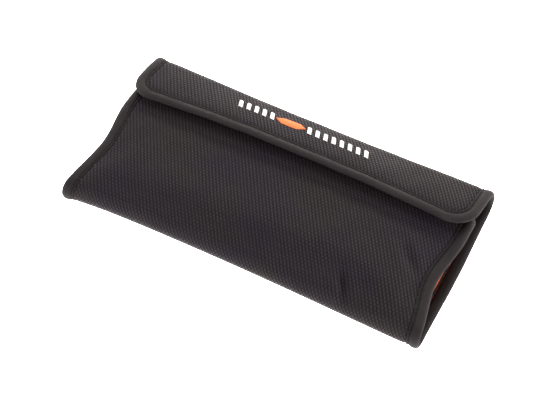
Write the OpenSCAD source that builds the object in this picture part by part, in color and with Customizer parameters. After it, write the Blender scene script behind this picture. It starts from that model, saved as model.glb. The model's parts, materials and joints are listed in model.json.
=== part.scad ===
// Folding accessory wallet: one padded sheet folded into a back leaf, a front leaf and a closing
// flap. The back leaf lies on z = 0, the long edges run along X, and the flap folds over from +Y.

/* [Wallet] */
// Length along the fold lines
wallet_l = 265; // [240:1:300]
// Width over the two fold lines, closed
wallet_w = 131; // [120:1:150]
// Outer radius of the two folds
fold_r = 10; // [8:0.1:11]
// Clearance left between two leaves along their fold line
fold_gap = 0.3; // [0.3:0.1:0.6]

/* [Laminate] */
// Thickness of the woven outer shell
shell_t = 0.8; // [0.6:0.1:1.2]
// Thickness of the foam padding
padding_t = 2.2; // [1.5:0.1:2.5]
// Thickness of the inner lining
lining_t = 0.6; // [0.4:0.1:0.9]
// Thickness of the edge binding tape
tape_t = 0.7; // [0.5:0.1:0.7]
// Width of the binding tape seen on each face
tape_w = 8.5; // [7:0.5:10]

/* [Back leaf] */
// How far its short sides stand out at the middle
back_bow = 1; // [0:0.5:5]
// Width of its binding tape on the inside, where it is turned over further
back_inner_w = 9.5; // [8.5:0.5:14]

/* [Front leaf] */
// Rise of the front leaf from the bottom fold to its crest
front_rise = 4.6; // [3:0.1:8]
// Y of the crest
crest_y = 14; // [8:1:16]
// Y of the free edge, which lies under the flap
front_free_y = 42; // [38:1:46]
// How far the short sides draw in at the middle of the front leaf
side_bow = 3.5; // [0:0.5:5]
// How far the short sides draw in overall
side_inset = 2.2; // [0:0.1:3]
// Corner radius at the free edge
front_corner_r = 12; // [11:1:16]

/* [Flap] */
// Slope of the closed flap, in degrees
flap_slope = 20; // [15:1:24]
// Length of the flap beyond its fold
flap_len = 41; // [36:1:44]
// Corner radius of the flap
flap_corner_r = 22; // [14:1:24]
// How far the flap's short sides are set in
flap_inset = 1.5; // [0:0.5:4]

/* [Closure] */
// Length of the hook and loop strips
strip_l = 180; // [120:5:200]
// Width of the hook and loop strips
strip_w = 14; // [12:1:16]
// Thickness of each strip
strip_t = 1.2; // [1:0.1:1.5]
// Clearance between the closed strips
strip_gap = 0.3; // [0.3:0.1:0.6]

/* [Pockets] */
// Number of pockets side by side, one node is named for each
pocket_count = 3; // [3:1:3]
// Height of a pocket over the lining
pocket_h = 6.4; // [5:0.1:6.6]
// Thickness of a pocket's front wall
pocket_wall = 0.8; // [0.6:0.1:1]
// Y of the bottom seam
pocket_bottom_y = -52; // [-54:1:-46]
// Y of the mouth
pocket_mouth_y = 34; // [28:1:36]
// Width of the seam allowance round a pocket
seam_w = 3; // [2:0.5:4]

/* [Emblem] */
// X of the emblem's centre
emblem_x = -4; // [-20:1:20]
// Distance of the emblem's centre line from the start of the flap's slope
emblem_t = 13; // [10:1:18]
// Width of the emblem across the flap
emblem_w = 8.5; // [6:0.5:10]
// How far the stitching stands proud of the shell
emblem_t_out = 0.4; // [0.2:0.1:0.6]

/* [Hidden] */

leaf_t = shell_t + padding_t + lining_t;
// A bound edge has no foam in it: tape, shell, lining, tape.
edge_lining_d = tape_t + shell_t;
edge_t = edge_lining_d + lining_t + tape_t;
// The shell steps down under the tape and the lining steps up to it, over this width.
step_w = 1;
riser_w = 0.6;
// The arcs run a little past the fold line, in degrees, and are cut there.
arc_past = 4;
arc_step = 15;
curve_step = 6;
corner_step = 15;
tall = 60;

bottom_c = [-wallet_w / 2 + fold_r, fold_r];
top_c = [wallet_w / 2 - fold_r, fold_r];

// A station of a leaf is [point on the outer surface, unit normal into the leaf].
function arc_station(c, r, a) = [c + r * [cos(a), sin(a)], -[cos(a), sin(a)]];
function arc_stations(c, r, from, to) =
    let (n = ceil(abs(to - from) / arc_step))
    [for (i = [0:n]) arc_station(c, r, from + (to - from) * i / n)];

// Back leaf, from the bottom fold line under the wallet to the top fold line
back_stations = concat(arc_stations(bottom_c, fold_r, 180 - arc_past, 270),
                       arc_stations(top_c, fold_r, 270, 360 + arc_past));
back_flat_stations = [[[bottom_c.x, 0], [0, 1]], [[top_c.x, 0], [0, 1]]];

// Flap, from the top fold line to its free edge
flap_dir = [-cos(flap_slope), sin(flap_slope)];
flap_in = -[sin(flap_slope), cos(flap_slope)];
flap_start = top_c + fold_r * [sin(flap_slope), cos(flap_slope)];
flap_end = flap_start + flap_len * flap_dir;
flap_slope_stations = [[flap_start, flap_in], [flap_end, flap_in]];
flap_stations = concat(arc_stations(top_c, fold_r, -arc_past, 90 - flap_slope),
                       [[flap_end, flap_in]]);

// Front leaf, from the bottom fold line over a crest to its free edge. Under the flap it runs
// parallel to the flap, with room for the hook and loop strips.
under_flap_d = leaf_t + 2 * strip_t + strip_gap;
under_flap = flap_start + under_flap_d * flap_in;
crest_span = crest_y - bottom_c.x;
fold_tilt = atan(front_rise * PI / 2 / crest_span);
rise_start = bottom_c + fold_r * [-sin(fold_tilt), cos(fold_tilt)];
function rise_z(y) = rise_start.y
    + front_rise * sin(min(90, 90 * (y - rise_start.x) / (crest_y - rise_start.x)));
function under_z(y) = under_flap.y + (under_flap.x - y) * tan(flap_slope);
blend_k = 0.9;
function front_z(y) =
    -ln(exp(-blend_k * rise_z(y)) + exp(-blend_k * under_z(y))) / blend_k;
function front_station(y) =
    let (e = 0.01, s = (front_z(y + e) - front_z(y - e)) / (2 * e))
    [[y, front_z(y)], [s, -1] / sqrt(1 + s * s)];
front_n = ceil((front_free_y - rise_start.x) / curve_step);
front_curve_stations = [for (i = [0:front_n])
    front_station(rise_start.x + (front_free_y - rise_start.x) * i / front_n)];
front_stations = concat(
    [for (i = [0:5]) arc_station(bottom_c, fold_r,
        180 + arc_past + (fold_tilt - arc_past - 90) * i / 6)],
    front_curve_stations);

// Outlines seen from above, drawn in by e at the bound edges. The fold side isn't drawn in.
fold_y = wallet_w / 2 + 1;
function front_inset(y) =
    side_inset * min(1, (y + wallet_w / 2) / 40)
    + side_bow * pow(cos(max(-90, min(90, 90 * (y + 24) / 40))), 2);
function front_half(y) = wallet_l / 2 - max(0, front_inset(y));

function mirrored(points) =
    concat(points, [for (i = [len(points) - 1:-1:0]) [-points[i].x, points[i].y]]);

function back_half(y) = wallet_l / 2 + back_bow * pow(cos(min(90, 90 * abs(y) / 60)), 2);

module back_plan(e) {
    n = 20;
    side = [for (i = [0:n]) let (y = -fold_y + 2 * fold_y * i / n) [back_half(y) - e, y]];
    polygon(mirrored(side));
}

module front_plan(e) {
    r = front_corner_r - e;
    y1 = front_free_y - front_corner_r;
    x1 = front_half(front_free_y) - front_corner_r;
    n = 18;
    side = [for (i = [0:n]) let (y = -fold_y + (y1 + fold_y) * i / n) [front_half(y) - e, y]];
    corner = [for (a = [corner_step:corner_step:90]) [x1 + r * cos(a), y1 + r * sin(a)]];
    polygon(mirrored(concat(side, corner)));
}

module flap_plan(e) {
    r = flap_corner_r - e;
    x0 = wallet_l / 2 - flap_inset;
    x1 = x0 - flap_corner_r;
    y1 = flap_end.x + flap_corner_r;
    side = [[x0 - e, fold_y], [x0 - e, y1]];
    corner = [for (a = [corner_step:corner_step:90]) [x1 + r * cos(a), y1 - r * sin(a)]];
    polygon(mirrored(concat(side, corner)));
}

module plan(leaf, e) {
    if (leaf == "back") back_plan(e);
    if (leaf == "front") front_plan(e);
    if (leaf == "flap") flap_plan(e);
}

// A layer of a leaf from depth d0 to d1 under its outer surface, the whole length of the wallet
module layer(stations, d0, d1) {
    outer = [for (s = stations) s[0] + d0 * s[1]];
    inner = [for (i = [len(stations) - 1:-1:0]) stations[i][0] + d1 * stations[i][1]];
    rotate([90, 0, 90])
        linear_extrude(wallet_l + 2 * back_bow, center = true)
            polygon(concat(outer, inner));
}

// The back leaf lies under the height of the fold lines, and the other two above it.
module room(leaf) {
    if (leaf == "back") linear_extrude(fold_r - fold_gap / 2) children();
    else translate([0, 0, fold_r + fold_gap / 2]) linear_extrude(tall) children();
}

// The part of a layer that lies more than e inside the bound edges
module core(leaf, stations, d0, d1, e) {
    intersection() {
        layer(stations, d0, d1);
        room(leaf) plan(leaf, e);
    }
}

// The part of a layer between the insets e0 and e1
module rim(leaf, stations, d0, d1, e0, e1) {
    intersection() {
        layer(stations, d0, d1);
        room(leaf) difference() {
            plan(leaf, e0);
            plan(leaf, e1);
        }
    }
}

// Width of a leaf's binding on the inside, which is also how far the foam is kept from the edge
function inner_w(leaf) = leaf == "back" ? back_inner_w : tape_w;

module shell(leaf, stations) {
    core(leaf, stations, 0, shell_t, tape_w);
    rim(leaf, stations, tape_t, edge_lining_d, tape_t, inner_w(leaf) + step_w);
}

module padding(leaf, stations) {
    core(leaf, stations, shell_t, shell_t + padding_t, inner_w(leaf) + step_w + riser_w);
}

module lining(leaf, stations) {
    riser_e = inner_w(leaf) + step_w;
    core(leaf, stations, leaf_t - lining_t, leaf_t, riser_e);
    rim(leaf, stations, edge_lining_d, leaf_t, riser_e, riser_e + riser_w);
    rim(leaf, stations, edge_lining_d, edge_lining_d + lining_t, tape_t, riser_e + riser_w);
}

module binding(leaf, stations) {
    rim(leaf, stations, 0, tape_t, 0, tape_w);
    rim(leaf, stations, 0, edge_t, 0, tape_t);
    rim(leaf, stations, edge_t - tape_t, edge_t, 0, inner_w(leaf));
}

module half_space(side) {
    translate([side * wallet_l, 0, 0])
        cube([2 * wallet_l, 2 * wallet_l, 2 * tall], center = true);
}

// ---- Back leaf ----
module back_shell() {
    color("#2b292c") shell("back", back_stations);
}

module back_padding() {
    color("#55524e") padding("back", back_flat_stations);
}

module back_lining() {
    color("#e8641c") lining("back", back_stations);
}

module back_binding(side) {
    color("#242326") intersection() {
        binding("back", back_stations);
        half_space(side);
    }
}

// ---- Pockets ----
pocket_pitch = (wallet_l - 2 * (back_inner_w + step_w + riser_w)) / pocket_count;
pocket_gap = 0.4;
pocket_outer_w = pocket_pitch - pocket_gap;
pocket_slope_w = 6;
pocket_base_z = leaf_t;

// Room under an arched pocket wall whose foot is foot_w wide and whose top is at height h
module pocket_arch(foot_w, h, y0, y1) {
    intersection() {
        translate([0, y1, pocket_base_z]) rotate([90, 0, 0])
            linear_extrude(y1 - y0)
                polygon([[-foot_w / 2, 0], [foot_w / 2, 0],
                         [foot_w / 2 - pocket_slope_w, h], [-foot_w / 2 + pocket_slope_w, h]]);
        translate([0, 0, pocket_base_z]) rotate([90, 0, 90])
            linear_extrude(foot_w + 1, center = true)
                polygon([[y0, 0], [y1, 0], [y1, h], [y0 + pocket_slope_w, h]]);
    }
}

module pocket(i) {
    foot = pocket_outer_w - 2 * seam_w;
    bottom = pocket_bottom_y + seam_w;
    past = 1;
    color("#ef6a1f") translate([(i - (pocket_count - 1) / 2) * pocket_pitch, 0, 0])
        difference() {
            union() {
                translate([-pocket_outer_w / 2, pocket_bottom_y, pocket_base_z])
                    cube([pocket_outer_w, pocket_mouth_y - pocket_bottom_y, pocket_wall]);
                pocket_arch(foot, pocket_h, bottom, pocket_mouth_y);
            }
            translate([0, 0, -0.01])
                pocket_arch(foot - 2 * pocket_wall, pocket_h - pocket_wall,
                            bottom + pocket_wall, pocket_mouth_y + past);
        }
}

module pocket_tape(i) {
    foot = pocket_outer_w - 2 * seam_w;
    tape_in = 6;
    past = 1;
    color("#1f1e20") translate([(i - (pocket_count - 1) / 2) * pocket_pitch, 0, 0])
        difference() {
            translate([0, 0, 0])
                pocket_arch(foot + 2 * pocket_wall, pocket_h + tape_t,
                            pocket_mouth_y - tape_in - pocket_slope_w, pocket_mouth_y + tape_t);
            pocket_arch(foot, pocket_h, pocket_bottom_y, pocket_mouth_y);
            translate([0, 0, -0.01])
                pocket_arch(foot - 2 * pocket_wall, pocket_h - pocket_wall,
                            pocket_bottom_y, pocket_mouth_y + past + tape_t);
            translate([-wallet_l / 2, pocket_bottom_y, 0])
                cube([wallet_l, pocket_mouth_y - tape_in - pocket_bottom_y, tall]);
            translate([-wallet_l / 2, pocket_bottom_y, 0])
                cube([wallet_l, pocket_mouth_y - pocket_bottom_y, pocket_base_z + pocket_wall]);
        }
}

// ---- Front leaf ----
module front_shell() {
    color("#2b292c") shell("front", front_stations);
}

module front_padding() {
    color("#55524e") padding("front", front_curve_stations);
}

module front_lining() {
    color("#e8641c") lining("front", front_stations);
}

module front_binding() {
    color("#242326") binding("front", front_stations);
}

module strip_plan() {
    y0 = flap_end.x + tape_w - strip_w / 2 + 3;
    translate([-strip_l / 2, y0]) square([strip_l, strip_w]);
}

module loop_strip() {
    color("#1b1a1c") intersection() {
        layer(front_curve_stations, -strip_t, 0);
        linear_extrude(tall) strip_plan();
    }
}

// ---- Flap ----
module flap_shell() {
    color("#2b292c") shell("flap", flap_stations);
}

module flap_padding() {
    color("#55524e") padding("flap", flap_slope_stations);
}

module flap_lining() {
    color("#242326") lining("flap", flap_stations);
}

module flap_binding() {
    color("#242326") binding("flap", flap_stations);
}

module hook_strip() {
    color("#1b1a1c") intersection() {
        layer(flap_slope_stations, leaf_t, leaf_t + strip_t);
        linear_extrude(tall) strip_plan();
    }
}

// Draws its children, a shape in the plane of the flap, with the emblem's centre at the origin
// and -Y towards the free edge, as a thin solid on the flap's shell.
module on_flap() {
    p = flap_start + emblem_t * flap_dir;
    translate([emblem_x, p.x, p.y]) rotate([-flap_slope, 0, 0])
        linear_extrude(emblem_t_out) children();
}

module slanted_bar(x, w) {
    slant = emblem_w / 3;
    translate([x, 0]) polygon([[-slant / 2, -emblem_w / 2], [w - slant / 2, -emblem_w / 2],
                               [w + slant / 2, emblem_w / 2], [slant / 2, emblem_w / 2]]);
}

bar_w = 3;
bar_pitch = 6.2;
bar_gap = 1.2;
left_bars = 5;
right_bars = 8;
lozenge_x = -11;
lozenge_half_l = 11.8;

module emblem_bars() {
    color("#f2f0ec") on_flap() {
        for (i = [0:left_bars - 1])
            slanted_bar(lozenge_x - lozenge_half_l - bar_gap - bar_w - bar_pitch * i, bar_w);
        for (i = [0:right_bars - 1])
            slanted_bar(lozenge_x + lozenge_half_l + bar_gap + bar_pitch * i, bar_w);
    }
}

module emblem_lozenge() {
    color("#f47a20") on_flap() translate([lozenge_x, 0])
        polygon([[-lozenge_half_l, 0], [-lozenge_half_l / 2, -emblem_w / 2],
                 [lozenge_half_l / 2, -emblem_w / 2], [lozenge_half_l, 0],
                 [lozenge_half_l / 2, emblem_w / 2], [-lozenge_half_l / 2, emblem_w / 2]]);
}

back_shell();
back_padding();
back_lining();
back_binding(-1);  // back_binding_left
back_binding(1);  // back_binding_right
pocket(0);  // pocket_left
pocket(1);  // pocket_middle
pocket(2);  // pocket_right
pocket_tape(0);  // pocket_tape_left
pocket_tape(1);  // pocket_tape_middle
pocket_tape(2);  // pocket_tape_right
front_shell();
front_padding();
front_lining();
front_binding();
loop_strip();
flap_shell();
flap_padding();
flap_lining();
flap_binding();
hook_strip();
emblem_bars();
emblem_lozenge();
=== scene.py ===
"""Looks of the folding filter wallet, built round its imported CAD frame.

Lengths are in mm until a mesh is made.
"""
import json
import math

import bmesh
import bpy
import numpy as np
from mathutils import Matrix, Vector


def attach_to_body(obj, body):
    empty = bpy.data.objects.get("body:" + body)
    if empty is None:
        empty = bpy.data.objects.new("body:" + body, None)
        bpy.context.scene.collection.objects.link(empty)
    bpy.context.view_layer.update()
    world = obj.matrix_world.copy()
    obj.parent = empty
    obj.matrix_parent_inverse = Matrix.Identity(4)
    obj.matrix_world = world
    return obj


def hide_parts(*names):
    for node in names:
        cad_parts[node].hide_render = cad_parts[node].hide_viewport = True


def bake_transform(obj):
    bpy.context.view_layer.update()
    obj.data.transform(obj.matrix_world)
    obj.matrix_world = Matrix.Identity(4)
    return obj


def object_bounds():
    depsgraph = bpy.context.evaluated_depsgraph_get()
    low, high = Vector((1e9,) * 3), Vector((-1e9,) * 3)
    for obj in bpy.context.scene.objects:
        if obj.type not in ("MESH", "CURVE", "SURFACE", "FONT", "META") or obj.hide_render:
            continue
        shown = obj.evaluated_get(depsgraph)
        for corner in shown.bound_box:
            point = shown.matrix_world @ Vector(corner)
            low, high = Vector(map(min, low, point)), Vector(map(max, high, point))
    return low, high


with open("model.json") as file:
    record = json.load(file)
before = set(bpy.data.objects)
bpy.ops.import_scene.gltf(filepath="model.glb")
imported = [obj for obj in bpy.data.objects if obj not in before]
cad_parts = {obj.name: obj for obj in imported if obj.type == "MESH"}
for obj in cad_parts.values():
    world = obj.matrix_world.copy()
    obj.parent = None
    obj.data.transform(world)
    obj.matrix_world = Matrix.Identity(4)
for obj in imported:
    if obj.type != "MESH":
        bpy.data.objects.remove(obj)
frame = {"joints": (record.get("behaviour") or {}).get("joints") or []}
CAD_LOW, CAD_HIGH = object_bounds()

MM = 0.001
BACK_OUT = 1.0  # the back leaf's short edges stand out this far beyond the fold lines
LENGTH = (CAD_HIGH.x - CAD_LOW.x) / MM - 2 * BACK_OUT
WIDTH = (CAD_HIGH.y - CAD_LOW.y) / MM
JOINTS = {j["name"]: j for j in frame["joints"]}
FOLD_R = JOINTS["flap_open"]["pos_m"][2] / MM

# ---------------------------------------------------------------- the developed sheet
FRONT_RISE = 4.6  # the front leaf rises this far over the pockets
CREST_Y = 14.0  # and is highest here
FRONT_FREE_Y = 42.0  # its free edge, under the flap
FLAP_SLOPE = math.radians(20)
FLAP_LEN = 41.0
UNDER_FLAP = 6.3  # from the flap's outer face down to the front leaf's
BLEND_K = 0.9  # how sharply the front leaf turns from its rise to the flap's slope
FLAT = 50.0  # the covers of the front and the flap begin this far from the middle of the back
TAPE_W = 8.5
BACK_INNER_W = 9.5  # the back's tape is turned over further on the inside
LEAF_T = 3.6  # a leaf's thickness, and below it the shell's, the lining's and the bound edge's
SHELL_T = 0.8
LINING_T = 0.6
EDGE_T = 3.2
FRONT_CORNER, FLAP_CORNER = 12.0, 22.0  # radii of the free corners

BOTTOM_C = np.array([-WIDTH / 2 + FOLD_R, FOLD_R])
TOP_C = np.array([WIDTH / 2 - FOLD_R, FOLD_R])


def arc(centre, start, end, n=80):
    """Points on a fold's arc, between two angles in degrees."""
    a = np.radians(np.linspace(start, end, n))
    return centre + FOLD_R * np.stack([np.cos(a), np.sin(a)], 1)


def front_line():
    """Outer line of the front leaf from its free edge down to the bottom fold's arc."""
    tilt = math.atan(FRONT_RISE * math.pi / 2 / (CREST_Y - BOTTOM_C[0]))
    start = BOTTOM_C + FOLD_R * np.array([-math.sin(tilt), math.cos(tilt)])
    flap_start = TOP_C + FOLD_R * np.array([math.sin(FLAP_SLOPE), math.cos(FLAP_SLOPE)])
    under = flap_start - UNDER_FLAP * np.array([math.sin(FLAP_SLOPE), math.cos(FLAP_SLOPE)])
    y = np.linspace(FRONT_FREE_Y, start[0], 220)
    rise = start[1] + FRONT_RISE * np.sin(
        np.minimum(1, (y - start[0]) / (CREST_Y - start[0])) * math.pi / 2)
    limit = under[1] + (under[0] - y) * math.tan(FLAP_SLOPE)
    z = -np.log(np.exp(-BLEND_K * rise) + np.exp(-BLEND_K * limit)) / BLEND_K
    return np.stack([y, z], 1), 90 + math.degrees(tilt)


def outer_line():
    """Outer line of the whole sheet in the YZ plane, from the front's free edge to the flap's."""
    front, tilt = front_line()
    flap_dir = np.array([-math.cos(FLAP_SLOPE), math.sin(FLAP_SLOPE)])
    top = arc(TOP_C, 270, 450 - math.degrees(FLAP_SLOPE))
    flap = top[-1] + np.linspace(0, FLAP_LEN, 80)[:, None] * flap_dir
    floor = np.stack([np.linspace(BOTTOM_C[0], TOP_C[0], 120), np.zeros(120)], 1)
    return np.concatenate([front[:-1], arc(BOTTOM_C, tilt, 270)[:-1], floor[:-1], top[:-1], flap])


LINE = outer_line()
STEPS = np.concatenate([[0], np.cumsum(np.linalg.norm(np.diff(LINE, axis=0), axis=1))])
ON_FLOOR = np.abs(LINE[:, 1]) < 1e-6
S = STEPS - np.interp(0.0, LINE[ON_FLOOR, 0], STEPS[ON_FLOOR])  # 0 in the middle of the back
TANGENT = np.gradient(LINE, S, axis=0)
TANGENT /= np.linalg.norm(TANGENT, axis=1)[:, None]
S_FRONT, S_FLAP = S[0], S[-1]
S_BOTTOM_FOLD = -(TOP_C[0] + FOLD_R * math.pi / 2)
S_TOP_FOLD = TOP_C[0] + FOLD_R * math.pi / 2


def smooth(t):
    """0 below 0, 1 above 1, and an S-curve between them."""
    t = np.clip(t, 0, 1)
    return t * t * (3 - 2 * t)


def section(s):
    """Point on the outer line and the unit normal into the sheet, both as (y, z)."""
    s = np.asarray(s, float)
    p = np.stack([np.interp(s, S, LINE[:, k]) for k in (0, 1)], -1)
    t = np.stack([np.interp(s, S, TANGENT[:, k]) for k in (0, 1)], -1)
    t /= np.linalg.norm(t, axis=-1)[..., None]
    return p, np.stack([-t[..., 1], t[..., 0]], -1)


def s_at(y, part):
    """The sheet's s where a leaf reaches y."""
    pick = (S < S_BOTTOM_FOLD) if part == "front" else (S > S_TOP_FOLD)
    order = np.argsort(LINE[pick, 0])
    return float(np.interp(y, LINE[pick, 0][order], S[pick][order]))


BOTTOM_BOW, TOP_BOW = 2.8, 1.2  # how far the fold lines draw in at mid-length
DOME = 2.8  # how far the middle of the leaves stands above the CAD's level section
SIDE_DROP = 0.6  # how far their short edges hang below it
FOLD_LIFT, FOLD_END_LIFT = 2.6, 1.2  # the padding holds the flap's fold up, and more at its ends
FLAP_SWEEP = 3.0  # the flap is this much longer at its corners
DROOP_LEFT, DROOP_RIGHT = 4.4, 1.6  # its free corners hang this far onto the front leaf
FLARE = 3.2  # its left free corner spreads outwards
BOTTOM_OUT = 1.0  # the bottom fold bulges this far past the CAD's
LEFT_PUSH, RIGHT_PULL = 3.4, 1.2  # its left end pushes out further, and its right end draws in
LEFT_LIFT = 0.6  # the flap's fold stands up this much more at its left end
TUCK = 2.2  # the front leaf's corners give way under the flap's
LOW_Z, HIGH_Z = 5.0, 16.0  # the lift sets in between these heights, so the back stays flat


def sag(p):
    """The soft shape: fold lines drawn in at mid-length, leaves domed over the full pockets."""
    x, y, z = p[..., 0], p[..., 1], p[..., 2]
    u = np.clip(np.abs(x) / (LENGTH / 2), 0, 1)
    middle = 1 - u * u
    bottom, top = smooth((-y - 30) / 34), smooth((y - 36) / 28)
    upper = smooth((z - LOW_Z) / (HIGH_Z - LOW_Z))
    inner = smooth((WIDTH / 2 - np.abs(y)) / 34)
    lift = DOME * middle - SIDE_DROP * u ** 5
    out = np.array(p, float)
    push = BOTTOM_OUT + np.where(x < 0, LEFT_PUSH * u ** 8, -RIGHT_PULL * u ** 4)
    out[..., 1] = y + middle * (BOTTOM_BOW * bottom - TOP_BOW * top) - push * bottom
    fold = (FOLD_LIFT + FOLD_END_LIFT * u * u + LEFT_LIFT * smooth(-x / 130)) * smooth((y - 8) / 50)
    out[..., 2] = z + upper * (inner * lift + fold)
    return out


def place(x, s, d):
    """Row-frame points, in metres, of the sheet's (x, s) at depth d under its outer face."""
    p, n = section(s)
    x = np.broadcast_to(np.asarray(x, float), p.shape[:-1])
    s = np.broadcast_to(np.asarray(s, float), x.shape)
    q = p + (np.asarray(d, float) - puff(x, s))[..., None] * n
    out = sag(np.concatenate([x[..., None], q], -1))
    u = np.clip(np.abs(x) / (LENGTH / 2), 0, 1)
    flap = np.clip((s - S_TOP_FOLD) / (S_FLAP - S_TOP_FOLD), 0, 1)
    under = smooth((np.minimum(q[..., 0], FRONT_FREE_Y) - 2) / 34) * (s < S_BOTTOM_FOLD)
    droop = np.where(x < 0, DROOP_LEFT, DROOP_RIGHT)
    out[..., 0] -= FLARE * smooth((-x / (LENGTH / 2) - 0.5) / 0.5) * flap ** 1.2
    out[..., 1] -= FLAP_SWEEP * u * u * flap ** 1.5
    out[..., 2] -= droop * u ** 4 * flap ** 2 + TUCK * u ** 4 * under
    return out * MM


# ---------------------------------------------------------------- outlines
SIDE_INSET, SIDE_BOW = 2.2, 4.3  # the front leaf is set in, and notched by this much more
NOTCH_Y = -24.0
FLAP_STEP, FLAP_TAPER = 0.6, 2.4  # the flap is set in at its fold, and by this much more at its free edge


def side_inset(s):
    """How far the short edges are set in from the wallet's full length."""
    y = section(s)[0][..., 0]
    front = (SIDE_INSET * np.minimum(1, (y + WIDTH / 2) / 40)
             + SIDE_BOW * np.cos(np.radians(np.clip(90 * (y - NOTCH_Y) / 40, -90, 90))) ** 2)
    t = np.clip((s - S_TOP_FOLD) / (S_FLAP - S_TOP_FOLD), 0, 1)
    flap = FLAP_STEP * smooth(t / 0.2) + FLAP_TAPER * t ** 1.3
    back = -BACK_OUT * np.cos(np.radians(np.clip(90 * y / 60, -90, 90))) ** 2
    return np.where(s < S_BOTTOM_FOLD, front, np.where(s > S_TOP_FOLD, flap, back))


def half_width(s):
    return LENGTH / 2 - side_inset(np.asarray(s, float))


# ---------------------------------------------------------------- cloth simulation
SIM_STEP, SIM_UNIT, SIM_FRAMES = 3.0, 0.01, 24  # mesh size in mm, scene units to a mm, frames
SIM_SEED, SIM_BUMP = 11, 0.1  # the sheet starts with slight random waves
PINCH = 4.2  # how far the right side of the front leaf is pulled in where its edge is notched
HELD_BY_FOLD = 7  # the sheet is held this far to either side of a fold
DOME_CAP, CREASE_CAP = 1.1, 1.3  # limits on the broad and the fine part of the settled height
FIELD = {}


def sim_grid():
    x = np.linspace(-LENGTH / 2, LENGTH / 2, int(LENGTH / SIM_STEP) + 1)
    s = np.linspace(S_FRONT, S_FLAP, int((S_FLAP - S_FRONT) / SIM_STEP) + 1)
    return np.meshgrid(x, s)


def sim_object(x, s):
    """The flat sheet, pinched in where the front leaf's edge is notched. It remembers its own size."""
    waves = np.random.default_rng(SIM_SEED).uniform(-0.25, 0.25, (9, 3)) * [1, 1, 12]
    bumps = sum(SIM_BUMP * np.sin(x * a + s * b + c) for a, b, c in waves)
    notch = np.exp(-((s - s_at(-20.0, "front")) / 16.0) ** 2)
    pull = PINCH * notch * smooth((x - LENGTH / 2 + 70) / 62) - 0.5 * PINCH * notch * smooth(
        (-x - LENGTH / 2 + 60) / 52)
    faces = grid_faces(*x.shape)
    flat = np.stack([x, s, 0 * x], -1).reshape(-1, 3) * SIM_UNIT
    start = np.stack([x - pull, s, bumps], -1).reshape(-1, 3) * SIM_UNIT
    mesh = bpy.data.meshes.new("settling")
    mesh.from_pydata(start.tolist(), [], faces)
    obj = bpy.data.objects.new("settling", mesh)
    bpy.context.scene.collection.objects.link(obj)
    obj.shape_key_add(name="Basis")
    rest = obj.shape_key_add(name="rest")
    rest.data.foreach_set("co", flat.astype(np.float32).ravel())
    return obj


def sim_groups(obj, x, s):
    """Held along the tape and the folds, with a little more cloth than room at the ends."""
    edge = np.minimum(half_width(s) - np.abs(x), np.minimum(s - S_FRONT, S_FLAP - s))
    fold = np.minimum(np.abs(s - S_BOTTOM_FOLD), np.abs(s - S_TOP_FOLD))
    held = obj.vertex_groups.new(name="held")
    fixed = (edge < TAPE_W - 1) | (fold < HELD_BY_FOLD)
    held.add([int(i) for i in np.nonzero(fixed.ravel())[0]], 1.0, "REPLACE")
    loose = obj.vertex_groups.new(name="loose")
    right = smooth((x - 40) / 50) * smooth((S_BOTTOM_FOLD + 8 - s) / 20)
    left = 0.4 * smooth((-x - 70) / 40)
    for i, w in enumerate(np.clip(0.12 + right + left, 0, 1).ravel()):
        loose.add([i], float(w), "REPLACE")


def sim_settings(obj):
    modifier = obj.modifiers.new("cloth", "CLOTH")
    cloth = modifier.settings
    values = dict(quality=5, mass=0.3, tension_stiffness=15, compression_stiffness=12, shear_stiffness=8,
                  bending_stiffness=6.0, tension_damping=5, compression_damping=5, shear_damping=5,
                  bending_damping=0.5, air_damping=2, vertex_group_mass="held", vertex_group_shrink="loose",
                  shrink_min=-0.002, shrink_max=-0.05, use_pressure=True, uniform_pressure_force=0.12)
    for key, value in values.items():
        setattr(cloth, key, value)
    cloth.rest_shape_key = obj.data.shape_keys.key_blocks["rest"]
    cloth.effector_weights.gravity = 0
    modifier.collision_settings.use_collision = False
    modifier.collision_settings.use_self_collision = False
    modifier.point_cache.frame_start, modifier.point_cache.frame_end = 1, SIM_FRAMES


def blurred(z, times):
    """A grid of heights, averaged with its neighbours over and over."""
    for _ in range(times):
        wide = np.pad(z, 1, mode="edge")
        z = (wide[:-2, 1:-1] + wide[2:, 1:-1] + wide[1:-1, :-2] + wide[1:-1, 2:] + 2 * z) / 6
    return z


def settle():
    """Runs the cloth, keeps its height as the covers' creases, and takes the cloth away again."""
    x, s = sim_grid()
    obj = sim_object(x, s)
    sim_groups(obj, x, s)
    sim_settings(obj)
    scene = bpy.context.scene
    scene.frame_start, scene.frame_end = 1, SIM_FRAMES
    for f in range(1, SIM_FRAMES + 1):
        scene.frame_set(f)
    shape = obj.evaluated_get(bpy.context.evaluated_depsgraph_get()).to_mesh()
    co = np.zeros(len(shape.vertices) * 3, np.float32)
    shape.vertices.foreach_get("co", co)
    z = blurred(co.reshape(*x.shape, 3)[..., 2] / SIM_UNIT, 3)
    bpy.data.objects.remove(obj)
    scene.frame_set(1)
    broad = blurred(z, 40)
    FIELD.update(x=x[0], s=s[:, 0], broad=DOME_CAP * np.tanh(broad / DOME_CAP / 2),
                 fine=CREASE_CAP * np.tanh((z - broad) / CREASE_CAP))


def looked_up(z, x, s):
    """Bilinear reading of a grid over the sheet."""
    i = np.clip((s - FIELD["s"][0]) / (FIELD["s"][1] - FIELD["s"][0]), 0, len(FIELD["s"]) - 1.001)
    j = np.clip((x - FIELD["x"][0]) / (FIELD["x"][1] - FIELD["x"][0]), 0, len(FIELD["x"]) - 1.001)
    i0, j0 = i.astype(int), j.astype(int)
    u, v = i - i0, j - j0
    return ((1 - u) * ((1 - v) * z[i0, j0] + v * z[i0, j0 + 1])
            + u * ((1 - v) * z[i0 + 1, j0] + v * z[i0 + 1, j0 + 1]))


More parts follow.
